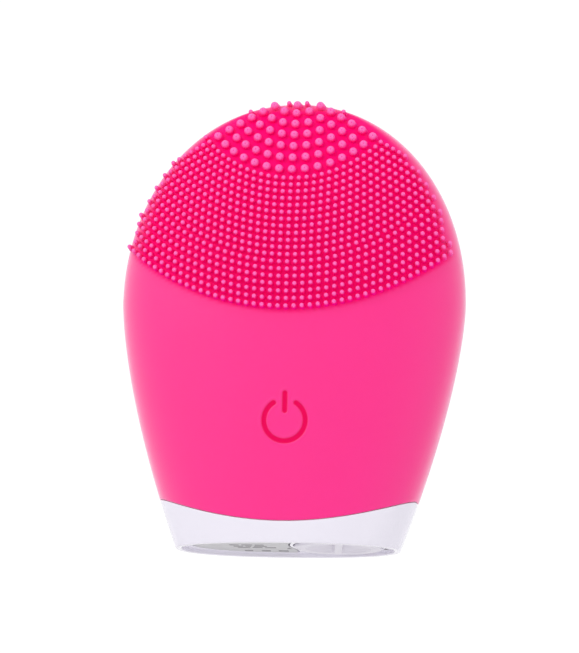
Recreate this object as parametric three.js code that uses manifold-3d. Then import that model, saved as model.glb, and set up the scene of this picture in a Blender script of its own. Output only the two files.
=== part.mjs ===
// A battery-powered facial cleansing brush: a silicone-covered egg with bristles on its upper front,
// a power button low on its front, and a white base with a twist-off battery cap underneath.
//
// Millimetres. The origin is the middle of the base's rim, +Z runs up to the crest, the bristles and the
// button face -Y, and +X is to the right of a person who looks at the front.

import * as THREE from "three";
import { mergeVertices } from "three/addons/utils/BufferGeometryUtils.js";
import Module from "manifold-3d";

const wasm = await Module();
wasm.setup();

// Outer form: every level is a rounded oval, HALF_WIDTH across X and HALF_DEPTH across Y at its fullest.
const HEIGHT = 87.6;
const HALF_WIDTH = 33.3;
const WIDEST_AT = 47.7;
const BASE_HALF_WIDTH = 21.6;
const HALF_DEPTH = 13.9;
const DEEPEST_AT = 40.0;
const BASE_HALF_DEPTH = 11.5;
const OVAL_POWER = 2.25;
const CROWN_POWER = 2.05;
const WAIST_POWER = 1.53;
const DEPTH_WAIST_POWER = 1.6;
const FORM_SIDES = 32;
const FORM_LEVELS = 13;

// Clearance between neighbours, and wall thicknesses.
const GAP = 0.3;
const SLEEVE_WALL = 1.6;
const SHELL_WALL = 1.6;
const CAP_WALL = 1.6;

// The saddle-shaped line where the sleeve meets the base.
const SPLIT_LOW = 4.1;
const SPLIT_HIGH = 9.2;
const SPLIT_REACH = 24.6;

// Bristle fields: each is the part of the front inside a circle about a point on the middle line.
const FINE_FIELD = { centre: 89.6, radius: 45.5, height: 1.6 };
const COARSE_FIELD = { centre: 91.4, radius: 19.9, height: 1.9 };
const FIELD_EDGE_Y = -4.0;

// Massage ridges on the back: rings about a point on the middle line.
const RIDGE_CENTRE = 64.0;
const RIDGE_RADII = [8, 14, 20];
const RIDGE_WIDTH = 2.4;
const RIDGE_HEIGHT = 0.8;

// Power button, with its plunger and its switch behind it.
const BUTTON = { z: 24.0, radius: 6.0, travel: 0.5 };
const PLUNGER = { radius: 2.2, flangeRadius: 3.4, front: -11.35, flangeFront: -9.55, back: -9.1 };
const SWITCH = { side: 6.0, front: -8.1, back: -6.1, wellRadius: 2.0, wellFloor: -6.8 };
const ACTUATOR = { radius: 1.7, front: -8.8, back: -7.2 };

// Base plate and battery cap.
const RIM_WIDTH = 1.2;
const PLATE = { bottom: 0.8, top: 3.4 };
const LABEL = { thickness: 0.3, inset: 2.0, right: 3.4, capMargin: 0.9 };
const CAP_X = 9.7;
const CAP = { radius: 8.4, face: 0.3, top: 2.3 };
const DISH = { radius: 6.3, depth: 1.3, barWidth: 1.6, barTurn: 0.12 };
const NECK = { radius: 6.2, top: 7.8 };
const LUG = { reach: 0.9, halfWidth: 1.1, bottom: 5.4, height: 1.3 };
const CAP_CONTACT = { radius: 4.6, bottom: 8.1, top: 8.4 };
const SEAL = { radius: 7.0, wire: 0.4, z: 3.0 };
const CAP_TURN = Math.PI / 2;
const CAP_LIFT = 3.0;

// Battery compartment. The cell is an AAA.
const TUBE = { bottom: 3.7, collarTop: 9.2, collarRadius: 7.7, collarBore: 6.5, radius: 6.7, bore: 5.6 };
const CELL = { bottom: 12.5, radius: 5.25, bodyLength: 43.3, nubRadius: 1.9, nubLength: 1.2 };
const TUBE_CEILING = 58.6;
const TUBE_TOP = 59.8;
const SPRING = { turns: 3, wire: 0.3, wide: 3.9, narrow: 2.2 };
const POSITIVE_CONTACT = { radius: 4.2, tabHalfWidth: 0.8, tabHalfDepth: 0.25, tabRise: 1.0 };
const SIDE_STRIP = { thickness: 0.4, halfWidth: 1.5, top: 40 };

// Vibration motor, lying across the head with its shaft to the right.
const MOTOR = { z: 67.5, radius: 5.0, left: -9.0, right: 5.0 };
const SHAFT = { radius: 0.75, left: -0.5, right: 12.6 };
const WEIGHT = { radius: 4.3, hubRadius: 1.9, left: 7.0, right: 12.0 };
const DAMPER = { wall: 0.9, left: -7.0, right: 2.0 };
const CRADLE = { left: -6.0, right: 1.0, front: 2.4, halfHeight: 6.4 };

// Control board, upright between the button and the battery tube.
const BOARD = { left: -14.0, right: 4.2, bottom: 10.0, top: 42.0, front: -5.8, back: -4.8 };
const CHIP = { left: -9.5, right: -5.5, bottom: 26, top: 31, thickness: 1.5 };
const INDUCTOR = { x: -7.5, z: 19.5, radius: 2.6, height: 2.4 };
const CAPACITOR = { x: 0.5, z: 35.5, radius: 1.9, height: 2.0 };
const LEAD_RADIUS = 0.5;

// Fasteners: the boss round each kind of screw, the pilot hole its thread bites into, the clearance hole and
// head room in the part it holds down, the seat of its head, and the screw itself.
const SHELL_SCREW = { boss: 2.6, pilot: 0.95, pilotEnd: -6, clearance: 1.3, headRoom: 2.2, seat: 4.0 };
const BOARD_SCREW = { boss: 2.0, pilot: 0.85, pilotEnd: -8.2, clearance: 1.2 };
const BASE_SCREW = {
  boss: 2.2,
  bossTop: 11,
  rib: 0.8,
  pilot: 0.95,
  pilotTop: 10,
  clearance: 1.15,
  headRoom: 2.1,
  seat: 2.6,
};
const SHELL_SCREW_SIZE = { headRadius: 1.8, headHeight: 1.0, shankRadius: 0.65, length: 8.0 };
const BOARD_SCREW_SIZE = { headRadius: 1.5, headHeight: 0.9, shankRadius: 0.55, length: 3.2 };
const BASE_SCREW_SIZE = { headRadius: 1.8, headHeight: 0.9, shankRadius: 0.65, length: 7.0 };
const SHELL_SCREWS = [
  { x: -20.5, z: 18 },
  { x: 20.5, z: 18 },
  { x: -21.5, z: 61 },
  { x: 21.5, z: 61 },
];
const BOARD_SCREWS = [
  { x: -11.6, z: 12.6 },
  { x: -11.6, z: 39.4 },
];
const BASE_SCREWS = [
  { x: -13.5, y: 4.2 },
  { x: -4.0, y: 4.2 },
];

const COLOURS = {
  silicone: 0xfe3e93,
  bristle: 0xff5aa8,
  gloss_white: 0xeeeaf4,
  label: 0xbab8bb,
  inner_white: 0xe4e3e0,
  gasket: 0x2b2b2e,
  steel: 0xb9bcc2,
  nickel: 0xc9c5ba,
  board: 0x1f6b3f,
  dark_plastic: 0x222326,
  cell: 0x2f6fb5,
  red: 0xb5201c,
  black: 0x1a1a1b,
};

const model = new THREE.Group();

// ---------------------------------------------------------------- building blocks

// Half-width and half-depth of the oval at height z, for a form grown outwards by offset.
function ovalAt(z, offset) {
  const top = HEIGHT + offset;
  const rise = THREE.MathUtils.clamp((z - WIDEST_AT) / (top - WIDEST_AT), 0, 1);
  const fall = Math.max(0, (WIDEST_AT - z) / WIDEST_AT);
  const crown = (1 - rise ** CROWN_POWER) ** (1 / CROWN_POWER);
  const waist = (1 - BASE_HALF_WIDTH / HALF_WIDTH) * fall ** WAIST_POWER;
  const deepRise = THREE.MathUtils.clamp((z - DEEPEST_AT) / (top - DEEPEST_AT), 0, 1);
  const deepFall = Math.max(0, (DEEPEST_AT - z) / DEEPEST_AT);
  const deepCrown = (1 - deepRise ** 2) ** (2 / 3);
  const width = z > WIDEST_AT ? (HALF_WIDTH + offset) * crown : HALF_WIDTH * (1 - waist) + offset;
  const taper = (HALF_DEPTH - BASE_HALF_DEPTH) * deepFall ** DEPTH_WAIST_POWER;
  const depth = z > DEEPEST_AT ? (HALF_DEPTH + offset) * deepCrown : HALF_DEPTH - taper + offset;
  return { width, depth };
}

function roundPower(value) {
  return Math.sign(value) * Math.abs(value) ** (2 / OVAL_POWER);
}

// A closed solid of the brush's form, grown by offset, from height bottom to its crest. Forms of every offset
// share their levels and sides, so that their facets stay parallel.
function ovalForm(offset, bottom) {
  const top = HEIGHT + offset;
  const profile = [new THREE.Vector2(0, bottom), new THREE.Vector2(1, bottom)];
  for (let k = 0; k < FORM_LEVELS; k += 1) {
    const level = top * Math.sin((Math.PI / 2) * (k / FORM_LEVELS));
    if (level > bottom + 1) {
      profile.push(new THREE.Vector2(1, level));
    }
  }
  profile.push(new THREE.Vector2(0, top));
  const lathe = new THREE.LatheGeometry(profile, FORM_SIDES);
  const position = lathe.attributes.position;
  for (let i = 0; i < position.count; i += 1) {
    const reach = Math.hypot(position.getX(i), position.getZ(i));
    const angle = Math.atan2(position.getX(i), position.getZ(i));
    const z = position.getY(i);
    const half = ovalAt(z, offset);
    const x = reach * half.width * roundPower(Math.sin(angle));
    const y = -reach * half.depth * roundPower(Math.cos(angle));
    position.setXYZ(i, x, y, z);
  }
  return solidOf(lathe);
}

// A manifold solid from a closed three.js geometry.
function solidOf(geometry) {
  geometry.deleteAttribute("normal");
  geometry.deleteAttribute("uv");
  const merged = mergeVertices(geometry, 1e-4);
  const corners = merged.index.array;
  const triVerts = [];
  for (let i = 0; i < corners.length; i += 3) {
    const [a, b, c] = corners.slice(i, i + 3);
    if (a !== b && b !== c && c !== a) {
      triVerts.push(a, b, c);
    }
  }
  const mesh = new wasm.Mesh({
    numProp: 3,
    vertProperties: Float32Array.from(merged.attributes.position.array),
    triVerts: Uint32Array.from(triVerts),
  });
  return new wasm.Manifold(mesh);
}

function geometryOf(solid) {
  const mesh = solid.getMesh();
  const geometry = new THREE.BufferGeometry();
  geometry.setAttribute("position", new THREE.BufferAttribute(mesh.vertProperties, mesh.numProp));
  geometry.setIndex(new THREE.BufferAttribute(mesh.triVerts, 1));
  return geometry;
}

// A cylinder from start to end along one axis; across holds its place on the other two axes, in order.
function rodGeometry(axis, radius, start, end, across, sides = 16) {
  const rod = new THREE.CylinderGeometry(radius, radius, end - start, sides);
  const middle = (start + end) / 2;
  if (axis === "x") {
    rod.rotateZ(-Math.PI / 2);
    rod.translate(middle, across[0], across[1]);
  } else if (axis === "y") {
    rod.translate(across[0], middle, across[1]);
  } else {
    rod.rotateX(Math.PI / 2);
    rod.translate(across[0], across[1], middle);
  }
  return rod;
}

function rod(axis, radius, start, end, across, sides) {
  return solidOf(rodGeometry(axis, radius, start, end, across, sides));
}

// A box between two opposite corners.
function boxGeometry(low, high) {
  const size = high.map((value, i) => value - low[i]);
  const middle = high.map((value, i) => (value + low[i]) / 2);
  return new THREE.BoxGeometry(...size).translate(...middle);
}

function box(low, high) {
  return solidOf(boxGeometry(low, high));
}

// The solid that an outline in the XZ plane sweeps between two values of y.
function slab(shape, fromY, toY) {
  const swept = new THREE.ExtrudeGeometry(shape, { depth: toY - fromY, bevelEnabled: false });
  swept.rotateX(Math.PI / 2);
  swept.translate(0, toY, 0);
  return solidOf(swept);
}

// Height of the line between sleeve and base at distance x from the middle.
function splitHeight(x) {
  const reach = Math.min(Math.abs(x) / SPLIT_REACH, 1);
  return SPLIT_LOW + (SPLIT_HIGH - SPLIT_LOW) * reach ** 2;
}

// Everything below the split line, moved up by shift.
function belowSplit(shift) {
  const outline = new THREE.Shape();
  const reach = HALF_WIDTH + 5;
  const steps = 20;
  outline.moveTo(-reach, -5);
  outline.lineTo(reach, -5);
  outline.lineTo(reach, SPLIT_HIGH + shift);
  for (let k = steps; k >= 0; k -= 1) {
    const x = SPLIT_REACH * ((2 * k) / steps - 1);
    outline.lineTo(x, splitHeight(x) + shift);
  }
  outline.lineTo(-reach, SPLIT_HIGH + shift);
  outline.closePath();
  return slab(outline, -30, 30);
}

function ring(axis, outer, inner, start, end, across, sides) {
  const hole = rod(axis, inner, start - 1, end + 1, across, sides);
  return rod(axis, outer, start, end, across, sides).subtract(hole);
}

function material(colour, roughness, metalness = 0) {
  return new THREE.MeshStandardMaterial({ color: COLOURS[colour], roughness, metalness });
}

function addPart(name, geometry, look, parent = model) {
  const mesh = new THREE.Mesh(geometry, look);
  mesh.name = name;
  parent.add(mesh);
  return mesh;
}

// ---------------------------------------------------------------- silicone

function buildSleeve() {
  let sleeve = ovalForm(0, 2);
  for (const radius of RIDGE_RADII) {
    const band = ring("y", radius + RIDGE_WIDTH / 2, radius - RIDGE_WIDTH / 2, 2, 30, [0, RIDGE_CENTRE], 20);
    const ridge = ovalForm(RIDGE_HEIGHT, 30).intersect(band);
    sleeve = sleeve.add(ridge);
  }
  sleeve = sleeve.subtract(ovalForm(-SLEEVE_WALL, -4));
  sleeve = sleeve.subtract(belowSplit(GAP / 2));
  sleeve = sleeve.subtract(rod("y", BUTTON.radius + GAP, -30, 0, [0, BUTTON.z], 32));
  addPart("silicone_sleeve", geometryOf(sleeve), material("silicone", 0.6));
}

function buildButtonPad() {
  const skin = ovalForm(0, 2).subtract(ovalForm(-SLEEVE_WALL, 0));
  const pad = skin.intersect(rod("y", BUTTON.radius, -30, 0, [0, BUTTON.z], 28));
  addPart("power_button_pad", geometryOf(pad), material("silicone", 0.6));
}

function buildBristleFields() {
  const fineFront = rod("y", FINE_FIELD.radius, -30, FIELD_EDGE_Y, [0, FINE_FIELD.centre], 64);
  const coarseHole = rod("y", COARSE_FIELD.radius + GAP, -40, 10, [0, COARSE_FIELD.centre], 32);
  const fine = ovalForm(FINE_FIELD.height, 30)
    .subtract(ovalForm(GAP, 20))
    .intersect(fineFront)
    .subtract(coarseHole);
  addPart("fine_bristle_field", geometryOf(fine), material("bristle", 0.6));

  const coarseFront = rod("y", COARSE_FIELD.radius, -30, -0.3, [0, COARSE_FIELD.centre], 32);
  const coarse = ovalForm(COARSE_FIELD.height, 30)
    .subtract(ovalForm(GAP, 20))
    .intersect(coarseFront);
  addPart("coarse_bristle_field", geometryOf(coarse), material("bristle", 0.6));
}

// ---------------------------------------------------------------- inner shells

const SHELL_OFFSET = -(SLEEVE_WALL + GAP);
const CAVITY_OFFSET = SHELL_OFFSET - SHELL_WALL;
const SHELL_BOTTOM = PLATE.top + GAP;
const SEAM_HALF = 0.6;

function buildShells() {
  const hollow = ovalForm(SHELL_OFFSET, SHELL_BOTTOM).subtract(ovalForm(CAVITY_OFFSET, -4));
  const cavity = ovalForm(CAVITY_OFFSET + 0.4, SHELL_BOTTOM);
  const collarRoom = rod("z", TUBE.collarRadius + GAP, 0, TUBE.collarTop + GAP, [CAP_X, 0], 28);

  let front = hollow.subtract(box([-50, -SEAM_HALF, -5], [50, 50, 100])).subtract(collarRoom);
  let rear = hollow.subtract(box([-50, -50, -5], [50, SEAM_HALF, 100])).subtract(collarRoom);
  for (const { x, z } of SHELL_SCREWS) {
    front = front.add(rod("y", SHELL_SCREW.boss, -20, -SEAM_HALF, [x, z]).intersect(cavity));
    front = front.subtract(rod("y", SHELL_SCREW.pilot, SHELL_SCREW.pilotEnd, 5, [x, z], 12));
    rear = rear.add(rod("y", SHELL_SCREW.boss, SEAM_HALF, 20, [x, z]).intersect(cavity));
    rear = rear.subtract(rod("y", SHELL_SCREW.clearance, -1, 20, [x, z], 12));
    rear = rear.subtract(rod("y", SHELL_SCREW.headRoom, SHELL_SCREW.seat, 20, [x, z], 12));
  }
  for (const { x, z } of BOARD_SCREWS) {
    front = front.add(rod("y", BOARD_SCREW.boss, -20, BOARD.front - GAP, [x, z], 12).intersect(cavity));
    front = front.subtract(rod("y", BOARD_SCREW.pilot, BOARD_SCREW.pilotEnd, 0, [x, z], 10));
  }
  for (const { x, y } of BASE_SCREWS) {
    const post = rod("z", BASE_SCREW.boss, SHELL_BOTTOM, BASE_SCREW.bossTop, [x, y], 12);
    const rib = box([x - BASE_SCREW.rib, y, SHELL_BOTTOM], [x + BASE_SCREW.rib, 20, BASE_SCREW.bossTop]);
    rear = rear.add(post.add(rib).intersect(cavity));
    rear = rear.subtract(rod("z", BASE_SCREW.pilot, 0, BASE_SCREW.pilotTop, [x, y], 12));
  }
  const buttonPocket = rod("y", BUTTON.radius + 1, -30, -10.75, [0, BUTTON.z], 28);
  const plungerHole = rod("y", PLUNGER.radius + 0.35, -30, -5, [0, BUTTON.z], 20);
  front = front.subtract(buttonPocket).subtract(plungerHole);
  addPart("front_inner_shell", geometryOf(front), material("inner_white", 0.5));
  addPart("rear_inner_shell", geometryOf(rear), material("inner_white", 0.5));
}

// A thin frame between the two shells, open where the battery tube's collar and the base plate are.
function buildGasket() {
  const frame = ovalForm(SHELL_OFFSET - 0.2, SHELL_BOTTOM).subtract(ovalForm(CAVITY_OFFSET + 0.2, -4));
  const thickness = SEAM_HALF - GAP;
  const gasket = frame.intersect(box([-50, -thickness, -5], [50, thickness, 100]));
  addPart("shell_gasket", geometryOf(gasket), material("gasket", 0.8));
}

// ---------------------------------------------------------------- base

function buildBaseCap() {
  let cap = ovalForm(0, 0).intersect(belowSplit(-GAP / 2));
  cap = cap.subtract(ovalForm(-CAP_WALL, PLATE.top));
  cap = cap.subtract(ovalForm(-RIM_WIDTH, -3).intersect(box([-50, -50, -4], [50, 50, PLATE.bottom])));
  cap = cap.subtract(rod("z", CAP.radius + GAP, -5, 10, [CAP_X, 0], 40));
  cap = cap.subtract(labelForm(-1, PLATE.bottom + 2 * GAP, -LABEL.inset));
  for (const { x, y } of BASE_SCREWS) {
    cap = cap.subtract(rod("z", BASE_SCREW.clearance, 0, 10, [x, y], 12));
    cap = cap.subtract(rod("z", BASE_SCREW.headRoom, 0, BASE_SCREW.seat, [x, y], 16));
  }
  addPart("base_cap", geometryOf(cap), material("gloss_white", 0.25));
}

// The plan of the rating label: the left part of the oval, hollowed round the battery cap.
function labelForm(bottom, top, offset) {
  const plan = ovalForm(offset, bottom).intersect(box([-50, -50, bottom], [LABEL.right + offset, 50, top]));
  return plan.subtract(rod("z", CAP.radius + LABEL.capMargin - offset - LABEL.inset, -5, 10, [CAP_X, 0], 40));
}

function buildLabel() {
  const label = labelForm(PLATE.bottom, PLATE.bottom + LABEL.thickness, -LABEL.inset - GAP);
  addPart("base_label", geometryOf(label), material("label", 0.5));
}

// The two lugs of the battery cap's neck, grown on all sides by room, turned and lowered by share of the way.
function lugs(room, share) {
  const reach = NECK.radius + LUG.reach + room;
  const low = LUG.bottom - room;
  const high = LUG.bottom + LUG.height + room;
  const half = LUG.halfWidth + room;
  const bar = new THREE.BoxGeometry(2 * reach, 2 * half, high - low);
  bar.translate(0, 0, (low + high) / 2 - CAP_LIFT * share);
  bar.rotateZ(-CAP_TURN * share);
  bar.translate(CAP_X, 0, 0);
  return solidOf(bar);
}

function buildBatteryCap() {
  let cap = rod("z", CAP.radius, CAP.face, CAP.top, [CAP_X, 0], 40);
  const dish = rod("z", DISH.radius, -1, CAP.face + DISH.depth, [CAP_X, 0], 32);
  const bar = new THREE.BoxGeometry(DISH.barWidth, 40, 7);
  bar.rotateZ(DISH.barTurn);
  bar.translate(CAP_X, 0, 1.5);
  cap = cap.subtract(dish.subtract(solidOf(bar)));
  cap = cap.add(rod("z", NECK.radius, CAP.top - 0.2, NECK.top, [CAP_X, 0], 28)).add(lugs(0, 0));
  addPart("battery_cap", geometryOf(cap), material("gloss_white", 0.25));

  const { radius, bottom, top } = CAP_CONTACT;
  const contact = rodGeometry("z", radius, bottom, top, [CAP_X, 0], 20);
  addPart("battery_cap_contact", contact, material("nickel", 0.3, 1));

  const seal = new THREE.TorusGeometry(SEAL.radius, SEAL.wire, 6, 24);
  addPart("battery_cap_o_ring", seal, material("gasket", 0.7)).position.set(CAP_X, 0, SEAL.z);
}

// ---------------------------------------------------------------- battery compartment

function buildBatteryTube() {
  const at = [CAP_X, 0];
  let tube = rod("z", TUBE.collarRadius, TUBE.bottom, TUBE.collarTop, at, 28);
  tube = tube.add(rod("z", TUBE.radius, TUBE.collarTop - 0.5, TUBE_TOP, at, 28));
  tube = tube.subtract(rod("z", TUBE.collarBore, 0, TUBE.collarTop, at, 28));
  tube = tube.subtract(rod("z", TUBE.bore, 0, TUBE_CEILING, at, 28));
  tube = tube.subtract(box([CAP_X - 1.2, -0.6, TUBE_CEILING - 1], [CAP_X + 1.2, 0.6, TUBE_TOP + 1]));
  const steps = 8;
  for (let k = 0; k <= steps; k += 1) {
    tube = tube.subtract(lugs(GAP + 0.1, k / steps));
  }
  addPart("battery_tube", geometryOf(tube), material("inner_white", 0.5));
}

function buildBatteryCell() {
  const { bottom, radius, bodyLength, nubRadius, nubLength } = CELL;
  const profile = [
    new THREE.Vector2(0, 0),
    new THREE.Vector2(radius - 0.4, 0),
    new THREE.Vector2(radius, 0.4),
    new THREE.Vector2(radius, bodyLength - 0.5),
    new THREE.Vector2(radius - 0.5, bodyLength),
    new THREE.Vector2(nubRadius, bodyLength),
    new THREE.Vector2(nubRadius, bodyLength + nubLength),
    new THREE.Vector2(0, bodyLength + nubLength),
  ];
  const cell = new THREE.LatheGeometry(profile, 24).rotateX(Math.PI / 2);
  addPart("battery_cell", cell, material("cell", 0.35, 0.2)).position.set(CAP_X, 0, bottom);
}

// A conical compression spring: wide end on the cap's contact, narrow end under the cell.
function buildBatterySpring() {
  const { turns, wire, wide, narrow } = SPRING;
  const points = [];
  for (let k = 0; k <= turns * 12; k += 1) {
    const share = k / (turns * 12);
    const angle = 2 * Math.PI * turns * share;
    const radius = THREE.MathUtils.lerp(wide, narrow, share);
    const z = THREE.MathUtils.lerp(CAP_CONTACT.top + GAP + wire, CELL.bottom - GAP - wire, share);
    points.push(new THREE.Vector3(radius * Math.cos(angle), radius * Math.sin(angle), z));
  }
  const path = new THREE.CatmullRomCurve3(points);
  const spring = sweep(wire, path, 36, 5);
  addPart("battery_spring", spring, material("steel", 0.3, 1)).position.set(CAP_X, 0, 0);
}

// A round wire along a path.
function sweep(radius, path, steps, sides) {
  const section = new THREE.Shape();
  for (let k = 0; k < sides; k += 1) {
    const angle = (2 * Math.PI * k) / sides;
    const point = new THREE.Vector2(radius * Math.cos(angle), radius * Math.sin(angle));
    if (k === 0) {
      section.moveTo(point.x, point.y);
    } else {
      section.lineTo(point.x, point.y);
    }
  }
  section.closePath();
  return new THREE.ExtrudeGeometry(section, { steps, extrudePath: path, bevelEnabled: false });
}

function buildContacts() {
  const cellTop = CELL.bottom + CELL.bodyLength + CELL.nubLength;
  const { radius, tabHalfWidth, tabHalfDepth, tabRise } = POSITIVE_CONTACT;
  const plate = rod("z", radius, cellTop + GAP, cellTop + 2 * GAP, [CAP_X, 0], 20);
  const tabLow = [CAP_X - tabHalfWidth, -tabHalfDepth, cellTop + GAP];
  const tab = box(tabLow, [CAP_X + tabHalfWidth, tabHalfDepth, TUBE_TOP + tabRise]);
  addPart("positive_contact", geometryOf(plate.add(tab)), material("nickel", 0.3, 1));

  const outside = CAP_X - TUBE.radius - GAP;
  const stripLow = [outside - SIDE_STRIP.thickness, -SIDE_STRIP.halfWidth, TUBE.collarTop + GAP];
  const strip = boxGeometry(stripLow, [outside, SIDE_STRIP.halfWidth, SIDE_STRIP.top]);
  addPart("side_contact_strip", strip, material("nickel", 0.3, 1));
}

// ---------------------------------------------------------------- electronics

function buildBoard() {
  const { left, right, bottom, top, front, back } = BOARD;
  let board = box([left, front, bottom], [right, back, top]);
  for (const { x, z } of BOARD_SCREWS) {
    board = board.subtract(rod("y", BOARD_SCREW.clearance, -10, 0, [x, z], 12));
  }
  addPart("control_board", geometryOf(board), material("board", 0.4));

  const skin = front - GAP;
  const chip = boxGeometry([CHIP.left, skin - CHIP.thickness, CHIP.bottom], [CHIP.right, skin, CHIP.top]);
  addPart("controller_chip", chip, material("dark_plastic", 0.5));
  const coilAt = [INDUCTOR.x, INDUCTOR.z];
  const inductor = rodGeometry("y", INDUCTOR.radius, skin - INDUCTOR.height, skin, coilAt, 16);
  addPart("boost_inductor", inductor, material("dark_plastic", 0.6));
  const canAt = [CAPACITOR.x, CAPACITOR.z];
  const capacitor = rodGeometry("y", CAPACITOR.radius, skin - CAPACITOR.height, skin, canAt, 16);
  addPart("filter_capacitor", capacitor, material("steel", 0.3, 0.8));
}

function buildSwitch() {
  const half = SWITCH.side / 2;
  let body = box([-half, SWITCH.front, BUTTON.z - half], [half, SWITCH.back, BUTTON.z + half]);
  body = body.subtract(rod("y", SWITCH.wellRadius, -20, SWITCH.wellFloor, [0, BUTTON.z], 20));
  addPart("tact_switch_body", geometryOf(body), material("dark_plastic", 0.4));

  const actuator = rodGeometry("y", ACTUATOR.radius, ACTUATOR.front, ACTUATOR.back, [0, BUTTON.z], 18);
  addPart("tact_switch_actuator", actuator, material("dark_plastic", 0.5));

  const stem = rod("y", PLUNGER.radius, PLUNGER.front, PLUNGER.back, [0, BUTTON.z], 18);
  const flange = rod("y", PLUNGER.flangeRadius, PLUNGER.flangeFront, PLUNGER.back, [0, BUTTON.z], 20);
  addPart("button_plunger", geometryOf(stem.add(flange)), material("inner_white", 0.5));
}

// ---------------------------------------------------------------- motor

function buildMotor() {
  const at = [0, MOTOR.z];
  const can = rod("x", MOTOR.radius, MOTOR.left, MOTOR.right, at, 24);
  const bearing = rod("x", SHAFT.radius + GAP, SHAFT.left - GAP, MOTOR.right + 1, at, 14);
  addPart("motor_can", geometryOf(can.subtract(bearing)), material("steel", 0.3, 1));

  const bell = rodGeometry("x", MOTOR.radius - 0.3, MOTOR.left - GAP - 2, MOTOR.left - GAP, at, 20);
  addPart("motor_end_bell", bell, material("dark_plastic", 0.5));

  const shaft = rodGeometry("x", SHAFT.radius, SHAFT.left, SHAFT.right, at, 12);
  addPart("motor_shaft", shaft, material("steel", 0.2, 1));

  const hub = rod("x", WEIGHT.hubRadius, WEIGHT.left, WEIGHT.right, at, 20);
  const sector = rod("x", WEIGHT.radius, WEIGHT.left, WEIGHT.right, at, 24);
  const lowerHalf = box([0, -10, MOTOR.z - 10], [20, 10, MOTOR.z - 0.2]);
  const bore = rod("x", SHAFT.radius + GAP, 0, 20, at, 14);
  const weight = hub.add(sector.intersect(lowerHalf)).subtract(bore);
  addPart("eccentric_weight", geometryOf(weight), material("nickel", 0.35, 1));

  const inside = MOTOR.radius + GAP;
  const sock = ring("x", inside + DAMPER.wall, inside, DAMPER.left, DAMPER.right, at, 24);
  addPart("motor_damper", geometryOf(sock), material("gasket", 0.8));

  const room = rod("x", inside + DAMPER.wall + GAP, -30, 30, at, 24);
  const { left, right, front, halfHeight } = CRADLE;
  const block = box([left, front, MOTOR.z - halfHeight], [right, 20, MOTOR.z + halfHeight]);
  const cradle = block.subtract(room).intersect(ovalForm(CAVITY_OFFSET - GAP, 30));
  addPart("motor_cradle", geometryOf(cradle), material("inner_white", 0.5));
}

// ---------------------------------------------------------------- wiring

function lead(name, colour, points) {
  const path = new THREE.CatmullRomCurve3(points.map((point) => new THREE.Vector3(...point)));
  addPart(name, sweep(LEAD_RADIUS, path, 12, 6), material(colour, 0.5));
}

function buildLeads() {
  const bell = MOTOR.left - 2 * GAP - 2.5;
  lead("motor_lead_red", "red", [
    [bell, 0, 69.5],
    [bell - 1.6, -0.6, 68.0],
    [bell - 1.8, -2.4, 58.0],
    [-11.5, -4.2, 49.0],
    [-10.5, -5.3, 42.9],
  ]);
  lead("motor_lead_black", "black", [
    [bell, 0, 65.5],
    [bell - 1.0, -1.0, 63.5],
    [-11.0, -2.6, 55.0],
    [-8.6, -4.4, 48.0],
    [-7.8, -5.3, 42.9],
  ]);
  lead("battery_lead_red", "red", [
    [CAP_X - 1.9, 0, TUBE_TOP + 1.0],
    [5.0, -0.8, TUBE_TOP + 1.3],
    [1.9, -2.8, 59.0],
    [0.0, -4.3, 53.5],
    [-1.2, -5.3, 42.9],
  ]);
  lead("battery_lead_black", "black", [
    [CAP_X - TUBE.radius - 0.6, 0, 40.9],
    [1.9, -1.6, 43.5],
    [-2.4, -4.4, 46.6],
    [-4.0, -5.2, 45.0],
    [-4.2, -5.3, 42.9],
  ]);
}

// ---------------------------------------------------------------- fasteners

// A pan-head screw made at the origin: its shank runs along -Z below the head's seat.
function screwGeometry({ headRadius, headHeight, shankRadius, length }) {
  const profile = [
    new THREE.Vector2(0, -length),
    new THREE.Vector2(shankRadius, -length + shankRadius),
    new THREE.Vector2(shankRadius, 0),
    new THREE.Vector2(headRadius, 0),
    new THREE.Vector2(headRadius, 0.6 * headHeight),
    new THREE.Vector2(0.7 * headRadius, headHeight),
    new THREE.Vector2(0, headHeight),
  ];
  return new THREE.LatheGeometry(profile, 10).rotateX(Math.PI / 2);
}

function buildScrews() {
  const steel = () => material("steel", 0.3, 1);
  SHELL_SCREWS.forEach(({ x, z }, i) => {
    const screw = addPart(`shell_screw_${i + 1}`, screwGeometry(SHELL_SCREW_SIZE), steel());
    screw.rotation.x = -Math.PI / 2;
    screw.position.set(x, SHELL_SCREW.seat + GAP, z);
  });
  BOARD_SCREWS.forEach(({ x, z }, i) => {
    const screw = addPart(`board_screw_${i + 1}`, screwGeometry(BOARD_SCREW_SIZE), steel());
    screw.rotation.x = -Math.PI / 2;
    screw.position.set(x, BOARD.back + GAP, z);
  });
  BASE_SCREWS.forEach(({ x, y }, i) => {
    const screw = addPart(`base_screw_${i + 1}`, screwGeometry(BASE_SCREW_SIZE), steel());
    screw.rotation.x = Math.PI;
    screw.position.set(x, y, BASE_SCREW.seat - GAP);
  });
}

buildSleeve();
buildButtonPad();
buildBristleFields();
buildShells();
buildGasket();
buildBaseCap();
buildLabel();
buildBatteryCap();
buildBatteryTube();
buildBatteryCell();
buildBatterySpring();
buildContacts();
buildBoard();
buildSwitch();
buildMotor();
buildLeads();
buildScrews();

export default model;
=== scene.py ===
"""Facial cleansing brush: the visual model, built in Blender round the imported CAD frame."""
import math

import bmesh
import bpy
import numpy as np
from mathutils import Matrix, Vector


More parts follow.
